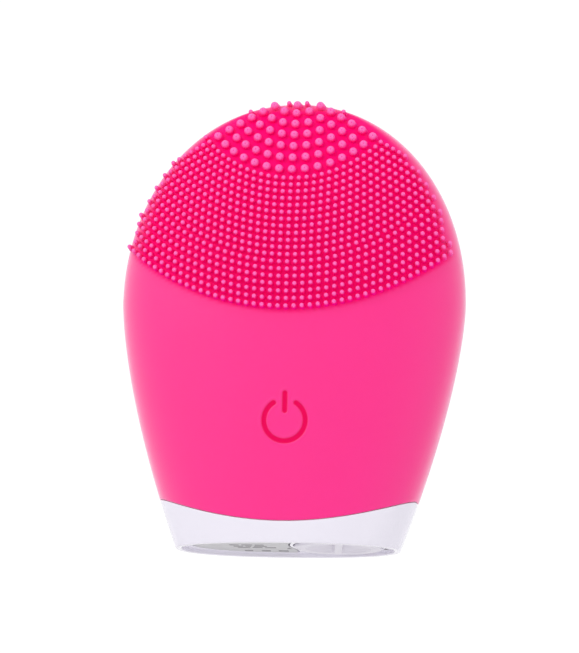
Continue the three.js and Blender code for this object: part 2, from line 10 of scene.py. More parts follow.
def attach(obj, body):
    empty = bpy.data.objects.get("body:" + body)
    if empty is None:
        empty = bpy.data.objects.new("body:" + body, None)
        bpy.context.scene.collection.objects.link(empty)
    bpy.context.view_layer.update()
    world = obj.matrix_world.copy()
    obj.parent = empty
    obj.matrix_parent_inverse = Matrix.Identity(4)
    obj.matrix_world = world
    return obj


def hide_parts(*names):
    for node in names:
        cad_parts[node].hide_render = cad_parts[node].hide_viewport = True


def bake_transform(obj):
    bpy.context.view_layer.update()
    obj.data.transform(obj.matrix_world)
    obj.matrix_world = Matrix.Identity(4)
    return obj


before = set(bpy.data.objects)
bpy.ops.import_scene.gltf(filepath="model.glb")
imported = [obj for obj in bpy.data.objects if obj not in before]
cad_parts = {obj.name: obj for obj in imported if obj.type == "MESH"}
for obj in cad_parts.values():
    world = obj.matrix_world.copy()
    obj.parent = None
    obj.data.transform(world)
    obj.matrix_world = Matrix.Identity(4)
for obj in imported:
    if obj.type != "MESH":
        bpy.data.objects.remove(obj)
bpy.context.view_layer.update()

# Lengths below are in millimetres, in the CAD frame: origin in the middle of the base's rim, +Z up, front -Y.
# The outer form repeats the CAD form: an oval at every level.
MM = 0.001
HEIGHT = 87.6
HALF_WIDTH = 33.3
WIDEST_AT = 47.7
BASE_HALF_WIDTH = 21.6
HALF_DEPTH = 13.9
DEEPEST_AT = 40.0
BASE_HALF_DEPTH = 11.5
OVAL_POWER = 2.25
CROWN_POWER = 2.05
WAIST_POWER = 1.53
DEPTH_WAIST_POWER = 1.6

# The saddle-shaped line between sleeve and base, and the fine groove along it.
SPLIT_LOW = 4.1
SPLIT_HIGH = 9.2
SPLIT_REACH = 24.6
GROOVE = 0.04
EDGE_RADIUS = 0.2
SKIN_WALL = 1.1

# Engraved power symbol.
SYMBOL_X = 0.14
SYMBOL_Z = 23.12
SYMBOL_RADIUS = 3.95
SYMBOL_STROKE = 0.5
SYMBOL_GAP = math.radians(33)
SYMBOL_BAR = (24.95, 28.3)
SYMBOL_DEPTH = 0.25

# Massage ridges on the back.
RIDGE_CENTRE = 64.0
RIDGE_RADII = (8, 14, 20)
RIDGE_WIDTH = 2.4
RIDGE_HEIGHT = 0.8

# Bristle field: its centre's height, then where the painted shade among its bristles starts and is full: by
# distance from that centre, by height near the crest, and by share of the half-width at the sides.
FIELD_CENTRE = 89.6
FIELD_EDGE = (46.0, 45.2)
FIELD_CREST = (87.6, 85.0)
FIELD_SIDES = (1.0, 0.86)

# Battery cap.
CAP_X = 9.7
CAP_RADIUS = 8.4
CAP_FACE = 0.3
CAP_TOP = 2.3
DISH_RADIUS = 6.3
DISH_DEPTH = 1.3
BAR_WIDTH = 1.6
BAR_TURN = 0.12
NECK_RADIUS = 6.2
NECK_TOP = 7.8
HOLE_RADIUS = 8.7
LUG_REACH = 7.1
LUG_HALF_WIDTH = 1.1
LUG_LEVELS = (5.4, 6.7)

# Base plate and its label.
PLATE_BOTTOM = 0.8
PLATE_TOP = 3.4
RIM_WIDTH = 1.2
FOOT_RADIUS = 0.15
WALL = 1.6
LABEL_FLOOR = 1.4
LABEL_TOP = 1.1
LABEL_INSET = 2.0
LABEL_RIGHT = 1.1
LABEL_CAP_RADIUS = 9.6
PRINT_RISE = 0.03
PRINT_ROOT = 0.05
MARKS = ((-0.1, 3.3), (18.6, 3.0))

# Camera: degrees, then millimetres.
AZIMUTH = 6.23
ELEVATION = -10.4
ROLL = 1.44
DISTANCE = 850
LENS = 242.25
AIM = (0, 0, 43)
SHOWN_AT = (0.76, -0.6)

# Studio.
WORLD_STRENGTH = 0.86
BACKDROP_STRENGTH = 1.05
KEY_POWER = 0.8
FILL_POWER = 0.15
LAMP_SIDE = 300
LAMP_AIM = (0, 0, 45)
STAGE_HALF = 3000
FLOOR_LEVEL = -240
BACKDROP_Y = 900
BACKDROP_LEVELS = (-1500, 3000)


# ---------------------------------------------------------------- camera, light, stage

def place_camera(azimuth, elevation, roll, distance, lens, aim, shown_at):
    """A long lens looking at the brush. shown_at is where aim appears, right and up of the middle."""
    a, e, r = (math.radians(v) for v in (azimuth, elevation, roll))
    back = Vector((math.sin(a) * math.cos(e), -math.cos(a) * math.cos(e), math.sin(e)))
    level = Vector((math.cos(a), math.sin(a), 0))
    upright = back.cross(level)
    right = level * math.cos(r) + upright * math.sin(r)
    up = upright * math.cos(r) - level * math.sin(r)
    target = Vector(aim) - right * shown_at[0] - up * shown_at[1]
    data = bpy.data.cameras.new("camera")
    data.lens = lens
    data.sensor_width = 36
    data.clip_start = 0.01
    camera = bpy.data.objects.new("camera", data)
    turn = Matrix((right, up, back)).transposed().to_4x4()
    camera.matrix_world = Matrix.Translation((target + back * distance) * MM) @ turn
    bpy.context.collection.objects.link(camera)
    bpy.context.scene.camera = camera


def area_light(name, place, power):
    """A square lamp at place that shines at the middle of the brush."""
    data = bpy.data.lights.new(name, "AREA")
    data.shape = "RECTANGLE"
    data.size = data.size_y = LAMP_SIDE * MM
    data.energy = power
    lamp = bpy.data.objects.new(name, data)
    lamp.location = Vector(place) * MM
    lamp.rotation_euler = (Vector(place) - Vector(LAMP_AIM)).to_track_quat("Z", "Y").to_euler()
    bpy.context.collection.objects.link(lamp)


def build_stage():
    """A white room: a pale floor some way under the brush, and a bright even world."""
    world = bpy.data.worlds.new("studio")
    world.use_nodes = True
    background = world.node_tree.nodes["Background"]
    background.inputs["Color"].default_value = (1, 1, 1, 1)
    background.inputs["Strength"].default_value = WORLD_STRENGTH
    bpy.context.scene.world = world
    bpy.context.scene.view_settings.view_transform = "Standard"

    half, level = STAGE_HALF, FLOOR_LEVEL
    corners = [(-half, -half, level), (half, -half, level), (half, half, level), (-half, half, level)]
    floor = make_object("studio_floor", np.array(corners, float), [(0, 1, 2, 3)], smooth=False)
    paint = Paint("studio_floor")
    paint.base(colour=(0.87, 0.87, 0.88), roughness=0.9)
    floor.data.materials.append(paint.material)

    y = BACKDROP_Y
    low, high = BACKDROP_LEVELS
    corners = [(-half, y, low), (half, y, low), (half, y, high), (-half, y, high)]
    backdrop = make_object("studio_backdrop", np.array(corners, float), [(0, 1, 2, 3)], smooth=False)
    glow = Paint("studio_backdrop")
    glow.base(colour=(0, 0, 0), roughness=1.0)
    glow.shader.inputs["Emission Color"].default_value = (1, 1, 1, 1)
    glow.shader.inputs["Emission Strength"].default_value = BACKDROP_STRENGTH
    backdrop.data.materials.append(glow.material)

    area_light("key", (-300, -420, 300), KEY_POWER)
    area_light("fill", (420, -260, 40), FILL_POWER)


# ---------------------------------------------------------------- mesh helpers

def make_object(name, points, faces, smooth=True):
    """A mesh object from points in millimetres and faces as tuples of indices or as an array of quads."""
    mesh = bpy.data.meshes.new(name)
    points = np.asarray(points, float) * MM
    if isinstance(faces, np.ndarray):
        faces = faces.tolist()
    mesh.from_pydata(points.tolist(), [], faces)
    mesh.validate()
    mesh.polygons.foreach_set("use_smooth", [smooth] * len(mesh.polygons))
    mesh.update()
    item = bpy.data.objects.new(name, mesh)
    bpy.context.collection.objects.link(item)
    return item


def grid_faces(rows, columns, closed, start=0, flip=False):
    """Quads over a grid of points stored row by row; closed joins the last column to the first."""
    r = np.arange(rows - 1)[:, None]
    c = np.arange(columns if closed else columns - 1)[None, :]
    after = (c + 1) % columns
    a, b = r * columns + c, r * columns + after
    d, e = (r + 1) * columns + c, (r + 1) * columns + after
    order = (a, d, e, b) if flip else (a, b, e, d)
    return np.stack([np.broadcast_to(k, a.shape).ravel() for k in order], axis=1) + start


class Builder:
    """Collects points and faces of one piece, ring by ring."""

    def __init__(self):
        self.points = []
        self.faces = []
        self.count = 0

    def grid(self, rings, closed=True, flip=False):
        """Adds an array of rings (rows, columns, 3) and returns the index of its first point."""
        rings = np.asarray(rings, float)
        rows, columns = rings.shape[:2]
        start = self.count
        self.points.append(rings.reshape(-1, 3))
        self.faces += grid_faces(rows, columns, closed, start, flip).tolist()
        self.count += rows * columns
        return start

    def last_ring(self, columns):
        """Index of the first point of the ring added last."""
        return self.count - columns

    def cone(self, start, columns, tip, flip=False):
        """Triangles from the ring of that many points at start to one more point, the tip."""
        self.points.append(np.array([tip], float))
        for k in range(columns):
            face = (start + k, start + (k + 1) % columns, self.count)
            self.faces.append(face[::-1] if flip else face)
        self.count += 1

    def add(self, points, faces):
        """Adds points with faces that count from 0."""
        self.points.append(np.asarray(points, float))
        self.faces += [tuple(corner + self.count for corner in face) for face in faces]
        self.count += len(points)

    def finish(self, name, **options):
        return make_object(name, np.concatenate(self.points), self.faces, **options)


def smoothstep(low, high, value):
    t = np.clip((value - low) / (high - low), 0, 1)
    return t * t * (3 - 2 * t)


# ---------------------------------------------------------------- the outer form

def half_sizes(z, grow=0.0):
    """Half-width and half-depth of the oval at height z, for the form grown outwards by grow."""
    z = np.asarray(z, float)
    top = HEIGHT + grow
    rise = np.clip((z - WIDEST_AT) / (top - WIDEST_AT), 0, 1)
    fall = np.clip((WIDEST_AT - z) / WIDEST_AT, 0, None)
    crown = (HALF_WIDTH + grow) * (1 - rise ** CROWN_POWER) ** (1 / CROWN_POWER)
    waist = HALF_WIDTH - (HALF_WIDTH - BASE_HALF_WIDTH) * fall ** WAIST_POWER + grow
    deep_rise = np.clip((z - DEEPEST_AT) / (top - DEEPEST_AT), 0, 1)
    deep_fall = np.clip((DEEPEST_AT - z) / DEEPEST_AT, 0, None)
    deep_crown = (HALF_DEPTH + grow) * (1 - deep_rise ** 2) ** (2 / 3)
    taper = HALF_DEPTH - (HALF_DEPTH - BASE_HALF_DEPTH) * deep_fall ** DEPTH_WAIST_POWER + grow
    return np.where(z > WIDEST_AT, crown, waist), np.where(z > DEEPEST_AT, deep_crown, taper)


def round_power(value):
    return np.sign(value) * np.abs(value) ** (2 / OVAL_POWER)


def form_points(angle, z):
    """Points of the form: angle 0 is the front, a quarter turn the right side."""
    width, depth = half_sizes(z)
    x = np.maximum(width, 0) * round_power(np.sin(angle))
    y = -np.maximum(depth, 0) * round_power(np.cos(angle))
    return np.stack(np.broadcast_arrays(x, y, np.asarray(z, float)), axis=-1)


def form_normals(points, grow=0.0):
    """Outward unit normals of the form, grown outwards by grow, at points that lie on it."""
    x, y, z = points[..., 0], points[..., 1], points[..., 2]
    step = 0.01
    width, depth = half_sizes(z, grow)
    wider, deeper = half_sizes(z + step, grow)
    narrower, shallower = half_sizes(z - step, grow)
    width, depth = np.maximum(width, 0.3), np.maximum(depth, 0.1)
    across = np.abs(x / width) ** OVAL_POWER
    along = np.abs(y / depth) ** OVAL_POWER
    slope_w = (wider - narrower) / (2 * step)
    slope_d = (deeper - shallower) / (2 * step)
    gx = np.sign(x) * np.abs(x / width) ** (OVAL_POWER - 1) / width
    gy = np.sign(y) * np.abs(y / depth) ** (OVAL_POWER - 1) / depth
    gz = -(across * slope_w / width + along * slope_d / depth)
    normals = np.stack([gx, gy, gz], axis=-1)
    return normals / np.maximum(np.linalg.norm(normals, axis=-1, keepdims=True), 1e-9)


def front_depth(x, z, grow=0.0):
    """The front face's y at (x, z)."""
    width, depth = half_sizes(z, grow)
    share = np.clip(np.abs(x) / np.maximum(width, 1e-6), 0, 1)
    return -depth * (1 - share ** OVAL_POWER) ** (1 / OVAL_POWER)


def split_height(x):
    reach = np.minimum(np.abs(x) / SPLIT_REACH, 1)
    return SPLIT_LOW + (SPLIT_HIGH - SPLIT_LOW) * reach ** 2


def spaced_angles(fine_half, fine_step, coarse_step):
    """Angles round the form with fine spacing on the front's middle band and coarse spacing elsewhere."""
    dense = np.linspace(0, np.pi, 4001)
    line = form_points(dense, SYMBOL_Z)
    length = np.concatenate([[0], np.cumsum(np.linalg.norm(np.diff(line, axis=0), axis=1))])
    places = [0.0]
    while places[-1] < length[-1]:
        blend = smoothstep(fine_half, fine_half + 6, places[-1])
        places.append(places[-1] + fine_step + (coarse_step - fine_step) * float(blend))
    places = np.array(places) * length[-1] / places[-1]
    right = np.interp(places, length, dense)
    return np.concatenate([right, -right[-2:0:-1]])


def spaced_levels(bottom, fine_low, fine_high, fine_step, coarse_step):
    """Heights from bottom to the crest, spaced along the outline, fine between fine_low and fine_high."""
    dense = HEIGHT - (HEIGHT - bottom) * np.linspace(1, 0, 6001) ** 2
    width, depth = half_sizes(dense)
    run = np.hypot(np.hypot(np.diff(dense), np.diff(width)), np.diff(depth))
    length = np.concatenate([[0], np.cumsum(run)])
    places = [0.0]
    while places[-1] < length[-1]:
        z = float(np.interp(places[-1], length, dense))
        away = max(fine_low - z, z - fine_high, 0)
        blend = float(smoothstep(0, 6, away))
        places.append(places[-1] + fine_step + (coarse_step - fine_step) * blend)
    places = np.array(places) * length[-1] / places[-1]
    return np.interp(places, length, dense)


# ---------------------------------------------------------------- silicone sleeve

def symbol_distance(x, z):
    """Signed distance from the edge of the power symbol's strokes, negative inside."""
    x = x - SYMBOL_X
    angle = np.arctan2(x, z - SYMBOL_Z)
    radius = np.hypot(x, z - SYMBOL_Z)
    on_ring = np.abs(radius - SYMBOL_RADIUS)
    end_x, end_z = SYMBOL_RADIUS * math.sin(SYMBOL_GAP), SYMBOL_RADIUS * math.cos(SYMBOL_GAP)
    to_end = np.hypot(np.abs(x) - end_x, z - SYMBOL_Z - end_z)
    ring = np.where(np.abs(angle) > SYMBOL_GAP, on_ring, to_end)
    bar = np.hypot(x, z - np.clip(z, *SYMBOL_BAR))
    return np.minimum(ring, bar) - SYMBOL_STROKE


def skin_relief(points):
    """How far the silicone stands out from the plain form, for the symbol and for the ridges on the back."""
    x, y, z = points[..., 0], points[..., 1], points[..., 2]
    away = symbol_distance(x, z)
    carved = -SYMBOL_DEPTH * smoothstep(0.16, -0.16, away)
    lip = 0.05 * np.exp(-((away - 0.32) / 0.2) ** 2)
    relief = np.where(y < 0, carved + lip, 0)
    radius = np.hypot(x, z - RIDGE_CENTRE)
    for ridge in RIDGE_RADII:
        share = np.clip(np.abs(radius - ridge) / (RIDGE_WIDTH / 2), 0, 1)
        bump = RIDGE_HEIGHT * 0.5 * (1 + np.cos(np.pi * share))
        relief = relief + np.where(y > 0, bump, 0)
    return relief


def build_sleeve():
    angles = spaced_angles(6.5, 0.15, 0.6)
    levels = spaced_levels(3.0, 17.5, 30.5, 0.15, 0.6)[:-1]
    angle, level = np.meshgrid(angles, levels)
    # Below this height the levels are squeezed, so that the lowest one follows the split line.
    reach = 15.0
    z = level.copy()
    for _ in range(12):
        x = form_points(angle, z)[..., 0]
        edge = split_height(x) + GROOVE / 2
        share = np.clip((level - levels[0]) / (reach - levels[0]), 0, 1)
        z = np.where(level < reach, edge + (reach - edge) * share, level)
    skin = form_points(angle, z)
    normals = form_normals(skin)
    skin = skin + normals * skin_relief(skin)[..., None]

    # The lower edge turns in with a small radius, and a plain inner wall runs up to the crest.
    edge, edge_normals = skin[0], normals[0]
    rings = []
    for share in (0.998, 0.985, 0.94, 0.85, 0.7, 0.55, 0.4, 0.25, 0.12, 0.05):
        height = edge[:, 2] + EDGE_RADIUS + (HEIGHT - SKIN_WALL - edge[:, 2] - EDGE_RADIUS) * share
        wall = form_points(angles, height)
        rings.append(wall - form_normals(wall) * SKIN_WALL)
    rings.append(edge - edge_normals * SKIN_WALL + np.array([0, 0, EDGE_RADIUS]))
    rings.append(edge - edge_normals * SKIN_WALL)
    for turn in np.linspace(0, math.pi / 2, 5)[:-1]:
        inset, lift = EDGE_RADIUS * (1 - math.sin(turn)), EDGE_RADIUS * (1 - math.cos(turn))
        rings.append(edge - edge_normals * inset + np.array([0, 0, lift]))
    first_free = int(np.searchsorted(levels, levels[0] + EDGE_RADIUS))
    columns = len(angles)
    piece = Builder()
    start = piece.grid(np.concatenate([np.array(rings), skin[first_free:]]))
    piece.cone(start, columns, (0, 0, HEIGHT - SKIN_WALL), flip=True)
    piece.cone(piece.last_ring(columns) - 1, columns, (0, 0, HEIGHT))
    item = piece.finish("sleeve_skin")
    shade_field(item)
    return item


def field_shade_share(x, z):
    """1 inside the bristle fields and 0 outside them, with a soft edge: where the materials paint shade among
    the bristles.
    """
    below = smoothstep(*FIELD_EDGE, np.hypot(x, z - FIELD_CENTRE))
    width, _ = half_sizes(z)
    return below * smoothstep(*FIELD_CREST, z) * smoothstep(*FIELD_SIDES, np.abs(x) / width)


def shade_field(item):
    """Stores how far each point lies inside the bristle fields and inside the symbol, where the material
    paints shade.
    """
    count = len(item.data.vertices)
    points = np.empty(count * 3, np.float32)
    item.data.vertices.foreach_get("co", points)
    points = points.reshape(-1, 3) / MM
    front = points[:, 1] < 0
    share = field_shade_share(points[:, 0], points[:, 2]) * front
    # The symbol's groove gets painted shade: the material paints it a deeper pink.
    carved = smoothstep(0.1, -0.12, symbol_distance(points[:, 0], points[:, 2])) * front
    # depth: how much painted shade falls among the bristles here.
    store(item, "depth", share)
    store(item, "carved", carved)


def store(item, name, values):
    """Stores one number per point under a name that a material can read."""
    layer = item.data.attributes.new(name, "FLOAT", "POINT")
    layer.data.foreach_set("value", np.asarray(values, np.float32))


# ---------------------------------------------------------------- bristles

FINE = {"length": 1.6, "tip": 0.43, "root": 0.5, "sides": 10, "dimple": 0.0}
COARSE = {"length": 1.9, "tip": 0.78, "root": 0.86, "sides": 16, "dimple": 0.14}
AHEAD_SHARE = 0.76
LEFT_EXTRA = 0.9
CREST_FINE = [(-9.1, 85.6), (-1.7, 87.55), (1.8, 87.55), (9.1, 85.6)]
CREST_COARSE = [(0.0, 87.1)]


def fine_rows():
    """Rows of fine bristles as (centre height, radius, spacing), tightening towards the coarse ones."""
    low_centre, low_radius, pitch = FIELD_CENTRE, 44.7, 1.45
    rows = [(low_centre, low_radius - pitch * k, 1.54) for k in range(7)]
    high_centre, high_radius, count = 91.7, 21.0, 12
    for m in range(count):
        centre = high_centre + (low_centre - high_centre) * m / count
        bottom = high_centre - high_radius - 1.425 * m
        rows.append((centre, centre - bottom, 1.485))
    return rows


def coarse_rows():
    """Rows of coarse bristles: arcs about one point."""
    return [(91.4, 18.8 - 2.5 * k, 2.5) for k in range(6)]


def row_places(rows, longest_turn, side_limit):
    """Tip places (x, z) along every row, counted outwards from the middle line."""
    places = []
    for centre, radius, spacing in rows:
        count = int(radius * longest_turn / spacing)
        for j in range(-count, count + 1):
            turn = j * spacing / radius
            places.append((radius * math.sin(turn), centre - radius * math.cos(turn)))
    places = np.array(places)
    width, _ = half_sizes(places[:, 1])
    reach = side_limit(places[:, 1]) * width + np.where(places[:, 0] < 0, LEFT_EXTRA, 0)
    return places[np.abs(places[:, 0]) < reach]


def fine_limit(z):
    """Share of the half-width that the fine field reaches at height z."""
    return np.interp(z, [55, 60, 75, 80], [0.975, 0.955, 0.94, 0.86])


def coarse_limit(z):
    return np.interp(z, [80, 87], [0.93, 0.99])


def bristle_mesh(name, places, kind):
    """Tapered round-ended bristles, tips at places, leaning between the skin's normal and straight ahead."""
    length, tip, root = kind["length"], kind["tip"], kind["root"]
    x, z = places[:, 0], places[:, 1]
    tips = np.stack([x, front_depth(x, z, length), z], axis=-1)
    ahead = np.array([0, -1.0, 0])
    lean = form_normals(tips, length) * (1 - AHEAD_SHARE) + ahead * AHEAD_SHARE
    lean /= np.linalg.norm(lean, axis=1, keepdims=True)
    side = np.cross(lean, [0, 0, 1.0])
    side /= np.linalg.norm(side, axis=1, keepdims=True)
    other = np.cross(lean, side)

    cap = tip * 0.8
    # Rows of (distance from the skin, radius, how far the colour goes to the tips' paler painted light), from
    # root to tip.
    outline = [(-0.6, root * 1.3, 0), (0.0, root * 1.2, 0), (0.2, root, 0.1)]
    outline.append((0.5 * length, (root + tip) / 2, 0.3))
    for turn in np.radians([0, 25, 50, 72]):
        rise = math.sin(turn)
        outline.append((length - cap + cap * rise, tip * math.cos(turn), 0.5 + 0.5 * rise))
    if kind["dimple"]:
        outline.append((length - 0.01, tip * 0.17, 1.0))
        outline.append((length - 0.05, tip * 0.11, 0.45))
    middle = tips - lean * kind["dimple"]
    around = np.linspace(0, 2 * np.pi, kind["sides"], endpoint=False)
    rings = []
    for along, radius, _ in outline:
        centre = tips + lean * (along - length)
        ring = side[:, None] * (radius * np.cos(around))[None, :, None]
        ring = ring + other[:, None] * (radius * np.sin(around))[None, :, None]
        rings.append(centre[:, None] + ring)
    rings = np.stack(rings, axis=1)
    count, rows, columns = rings.shape[:3]
    points = np.concatenate([rings.reshape(count, -1, 3), middle[:, None]], axis=1)
    one = grid_faces(rows, columns, True).tolist()
    last = (rows - 1) * columns
    one += [(last + k, last + (k + 1) % columns, rows * columns) for k in range(columns)]
    one.append(tuple(range(columns - 1, -1, -1)))
    each = points.shape[1]
    faces = [tuple(corner + each * n for corner in face) for n in range(count) for face in one]
    item = make_object(name, points.reshape(-1, 3), faces)
    # Painted shade in the dimple: its middle keeps less of the tips' painted light.
    apex = 0.3 if kind["dimple"] else 1.0
    heights = np.concatenate([np.repeat([row[2] for row in outline], columns), [apex]])
    store(item, "tip", np.tile(heights, count))
    # The bristles' painted shade inside the field and painted sheen at its edges follow this.
    store(item, "depth", np.repeat(field_shade_share(x, z), each))
    return item


def build_bristles():
    fine_places = row_places(fine_rows(), math.radians(62), fine_limit)
    coarse_places = row_places(coarse_rows(), math.radians(56), coarse_limit)
    return (
        bristle_mesh("fine_bristles", np.concatenate([fine_places, CREST_FINE]), FINE),
        bristle_mesh("coarse_bristles", np.concatenate([coarse_places, CREST_COARSE]), COARSE),
    )


# ---------------------------------------------------------------- base cap, label and battery cap

def base_ring(angles, z, inset):
    """A ring of the outer form at height z, moved in by inset along the level direction."""
    ring = form_points(angles, z)
    level = form_normals(ring) * np.array([1, 1, 0])
    level /= np.linalg.norm(level, axis=1, keepdims=True)
    return ring - level * inset


def round_ring(radius, z, count):
    angles = np.linspace(0, 2 * np.pi, count, endpoint=False)
    x, y = CAP_X + radius * np.sin(angles), -radius * np.cos(angles)
    return np.stack([x, y, np.full(count, float(z))], axis=-1)


def label_distance(x, y):
    """Signed distance, roughly, from the label's round-cornered outline, negative inside."""
    width, depth = half_sizes(PLATE_BOTTOM)
    share = (np.abs(x / width) ** OVAL_POWER + np.abs(y / depth) ** OVAL_POWER) ** (1 / OVAL_POWER)
    oval = (share - 1) * depth + LABEL_INSET
    cap = LABEL_CAP_RADIUS - np.hypot(x - CAP_X, y)
    sides = np.stack([oval, cap, x - LABEL_RIGHT])
    softness = 0.35
    return softness * np.log(np.exp(sides / softness).sum(axis=0))


def label_ring(grow, z, count=160):
    """A ring of the label's outline grown by grow, found along rays from a point well inside it."""
    angles = np.linspace(0, 2 * np.pi, count, endpoint=False)
    low, high = np.zeros(count), np.full(count, 25.0)
    for _ in range(40):
        middle = (low + high) / 2
        x, y = -9 + middle * np.sin(angles), -middle * np.cos(angles)
        inside = label_distance(x, y) < grow
        low, high = np.where(inside, middle, low), np.where(inside, high, middle)
    return np.stack([-9 + low * np.sin(angles), -low * np.cos(angles), np.full(count, float(z))], axis=-1)


def fill(outer, holes, face_up):
    """A flat face inside one ring with the other rings left out, as points and triangles."""
    mesh = bmesh.new()
    edges = []
    points = []
    for ring in [outer, *holes]:
        made = [mesh.verts.new(p) for p in ring]
        points.append(ring)
        edges += [mesh.edges.new((made[k], made[(k + 1) % len(made)])) for k in range(len(made))]
    bmesh.ops.triangle_fill(mesh, use_beauty=True, edges=edges)
    mesh.verts.index_update()
    faces = []
    for face in mesh.faces:
        face.normal_update()
        ring = [corner.index for corner in face.verts]
        faces.append(tuple(ring if (face.normal.z > 0) == face_up else ring[::-1]))
    mesh.free()
    return np.concatenate(points), faces


def quarter(count=5):
    """Pairs (sine, 1 - cosine) of a quarter turn, for rounding an edge."""
    turns = np.linspace(0, math.pi / 2, count)
    return [(math.sin(t), 1 - math.cos(t)) for t in turns]


def build_base():
    angles = np.linspace(0, 2 * np.pi, 280, endpoint=False)
    top = form_points(angles, np.full(280, 8.0))
    for _ in range(10):
        top = form_points(angles, split_height(top[:, 0]) - GROOVE / 2)
    edge = top[:, 2]
    rings = [
        base_ring(angles, PLATE_TOP, WALL),
        base_ring(angles, edge - 0.3, WALL),
        base_ring(angles, edge, WALL - 0.2),
    ]
    for sine, drop in quarter():
        rings.append(base_ring(angles, edge - 0.25 * drop, 0.25 * (1 - sine)))
    for share in (0.12, 0.3, 0.5, 0.7, 0.88):
        rings.append(base_ring(angles, (edge - 0.25) + (0.35 - edge + 0.25) * share, 0))
    for sine, drop in quarter():
        rings.append(base_ring(angles, FOOT_RADIUS * (1 - sine), FOOT_RADIUS * drop))
    # The rim's inner face, rounded below and above, from the foot up to the plate.
    inner = (
        (0, -0.2), (0.06, -0.06), (0.2, 0),
        (PLATE_BOTTOM - 0.15, 0.02), (PLATE_BOTTOM - 0.04, 0.07), (PLATE_BOTTOM, 0.2),
    )
    rings += [base_ring(angles, height, RIM_WIDTH + more) for height, more in inner]
    piece = Builder()
    piece.grid(np.array(rings), flip=True)

    hole = [round_ring(HOLE_RADIUS + 0.15 * (1 - s), PLATE_BOTTOM + 0.15 * d, 120) for s, d in quarter()]
    hole.insert(0, round_ring(HOLE_RADIUS + 0.3, PLATE_BOTTOM, 120))
    hole.append(round_ring(HOLE_RADIUS, PLATE_TOP, 120))
    piece.grid(np.array(hole), flip=True)
    recess = [label_ring(0.44, PLATE_BOTTOM)]
    recess += [label_ring(0.3 + 0.12 * (1 - s), PLATE_BOTTOM + 0.12 * d) for s, d in quarter()]
    recess.append(label_ring(0.3, LABEL_FLOOR))
    piece.grid(np.array(recess), flip=True)
    piece.add(*fill(rings[-1], [hole[0], recess[0]], face_up=False))
    piece.add(*fill(recess[-1], [], face_up=False))
    piece.add(*fill(rings[0], [hole[-1]], face_up=True))
    item = piece.finish("base_shell")
    weld(item)
    return item


def weld(item):
    """Joins points that lie on one another, then marks the sharp edges again."""
    mesh = bmesh.new()
    mesh.from_mesh(item.data)
    bmesh.ops.remove_doubles(mesh, verts=mesh.verts, dist=1e-6)
    bmesh.ops.recalc_face_normals(mesh, faces=mesh.faces)
    mesh.to_mesh(item.data)
    mesh.free()
    item.data.polygons.foreach_set("use_smooth", [True] * len(item.data.polygons))
    item.data.set_sharp_from_angle(angle=math.radians(30))


def build_label():
    rings = [label_ring(-0.3, LABEL_TOP), label_ring(0, LABEL_TOP)]
    rings += [label_ring(-0.1 * d, PLATE_BOTTOM + 0.1 * (1 - s)) for s, d in quarter()]
    rings.append(label_ring(-0.4, PLATE_BOTTOM))
    piece = Builder()
    piece.grid(np.array(rings), flip=True)
    piece.add(*fill(rings[-1], [], face_up=False))
    piece.add(*fill(rings[0], [], face_up=True))
    item = piece.finish("label_film")
    weld(item)
    return item


def plate(outline, bottom, top):
    """A thin flat plate over a level outline, as points and faces."""
    count = len(outline)
    points = [(x, y, bottom) for x, y in outline] + [(x, y, top) for x, y in outline]
    faces = [tuple(range(count - 1, -1, -1)), tuple(range(count, 2 * count))]
    faces += [(k, (k + 1) % count, (k + 1) % count + count, k + count) for k in range(count)]
    return points, faces


def build_print():
    """Plain dark bars on the label in place of print, and an alignment mark either side of the cap."""
    piece = Builder()
    bars = [
        (-11.2, -9.4, -1.4), (-8.9, -6.8, -1.4), (-6.3, -4.6, -1.4),
        (-10.6, -8.8, 0.4), (-8.3, -7.2, 0.4), (-6.7, -4.2, 0.4),
        (-10.0, -7.6, 2.2), (-7.1, -5.2, 2.2), (-4.7, -2.6, 2.2),
    ]
    outlines = [[(left, y), (right, y), (right, y + 0.9), (left, y + 0.9)] for left, right, y in bars]
    blocks = [(-9.1, -7.5), (-5.8, -4.1), (-2.5, -0.6)]
    outlines += [[(left, 6.4), (right, 6.4), (right, 7.9), (left, 7.9)] for left, right in blocks]
    outlines += [[(x - 0.55, y + 0.9), (x, y - 0.9), (x + 0.55, y + 0.9)] for x, y in MARKS]
    for outline in outlines:
        piece.add(*plate(outline, PLATE_BOTTOM - PRINT_RISE, PLATE_BOTTOM + PRINT_ROOT))
    return piece.finish("base_print", smooth=False)


def dish_level(x, y):
    """Height of the battery cap's face: a bowl with a bar left standing across it, its edges rounded."""
    along, across = x - CAP_X, y
    off_bar = np.abs(along * math.cos(BAR_TURN) + across * math.sin(BAR_TURN)) - BAR_WIDTH / 2
    radius = np.hypot(along, across)
    bowl = np.clip(1 - (radius / DISH_RADIUS) ** 2, 0, 1) ** 0.7
    return CAP_FACE + DISH_DEPTH * bowl * smoothstep(-0.12, 0.3, off_bar)


